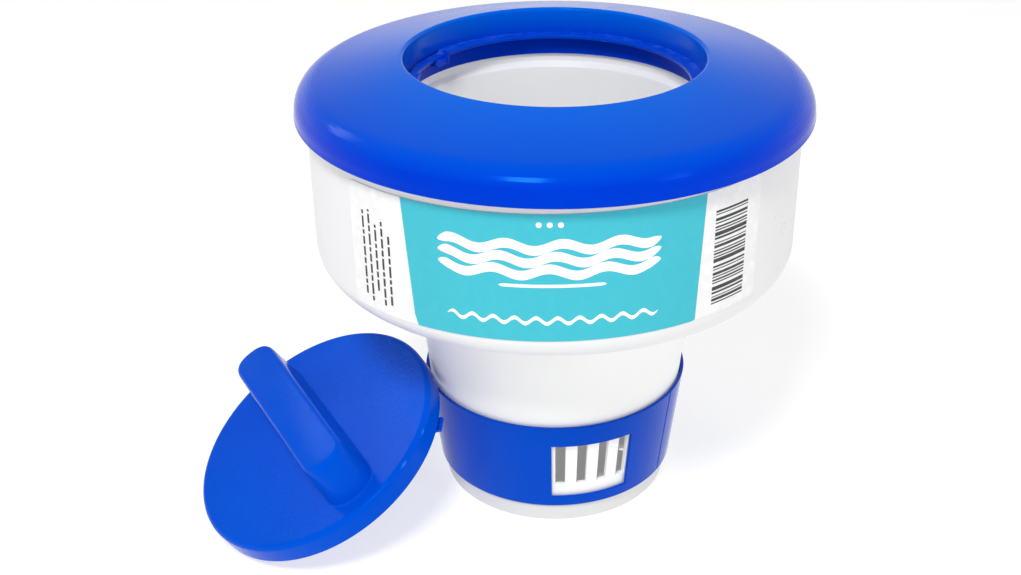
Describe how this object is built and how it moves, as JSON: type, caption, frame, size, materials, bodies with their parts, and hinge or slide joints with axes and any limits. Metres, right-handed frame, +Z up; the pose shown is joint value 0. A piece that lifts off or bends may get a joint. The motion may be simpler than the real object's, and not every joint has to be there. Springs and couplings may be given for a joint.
{
  "type": "floating chlorine dispenser",
  "caption": "Round floating dispenser for chlorine tablets: a ring float round a slotted canister, a turning dosing sleeve and a loose twist-lock lid leaning beside it.",
  "frame": {"origin": "centre of the base's underside, on the float's axis, at the level of the floor it stands on", "axes": "+Z up the float's axis out of the mouth, -Y towards the side that carries the label, +X to the right of the label seen from the front"},
  "size_m": [0.247, 0.2, 0.1852],
  "materials": {
    "white_shell": "smooth moulded polypropylene, satin gloss",
    "white_canister": "smooth moulded polypropylene, satin",
    "blue_cover": "smooth moulded polypropylene, gloss",
    "blue_sleeve": "smooth moulded polypropylene, high gloss",
    "blue_lid": "smooth moulded polypropylene, gloss with a fine ripple",
    "label_film": "printed film"
  },
  "bodies": {
    "float": {"float_bowl": "white_shell", "float_cover": "blue_cover", "lid_ledge": "blue_cover", "canister": "white_canister", "base_cap": "white_canister", "label": "label_film"},
    "sleeve": {"dosing_sleeve": "blue_sleeve"},
    "lid": {"lid_disc": "blue_lid", "lid_handle": "blue_lid", "lid_hooks": "blue_lid"}
  },
  "joints": [
    {"name": "sleeve_turn", "type": "hinge", "parent": "float", "child": "sleeve", "pos_m": [0, 0, 0.03], "axis": [0, 0, 1], "continuous": true},
    {"name": "lid_tip_up", "type": "hinge", "parent": "float", "child": "lid", "pos_m": [-0.13484, -0.05813, 0], "axis": [0.521, -0.8536, 0], "range_deg": [0, 60]}
  ]
}
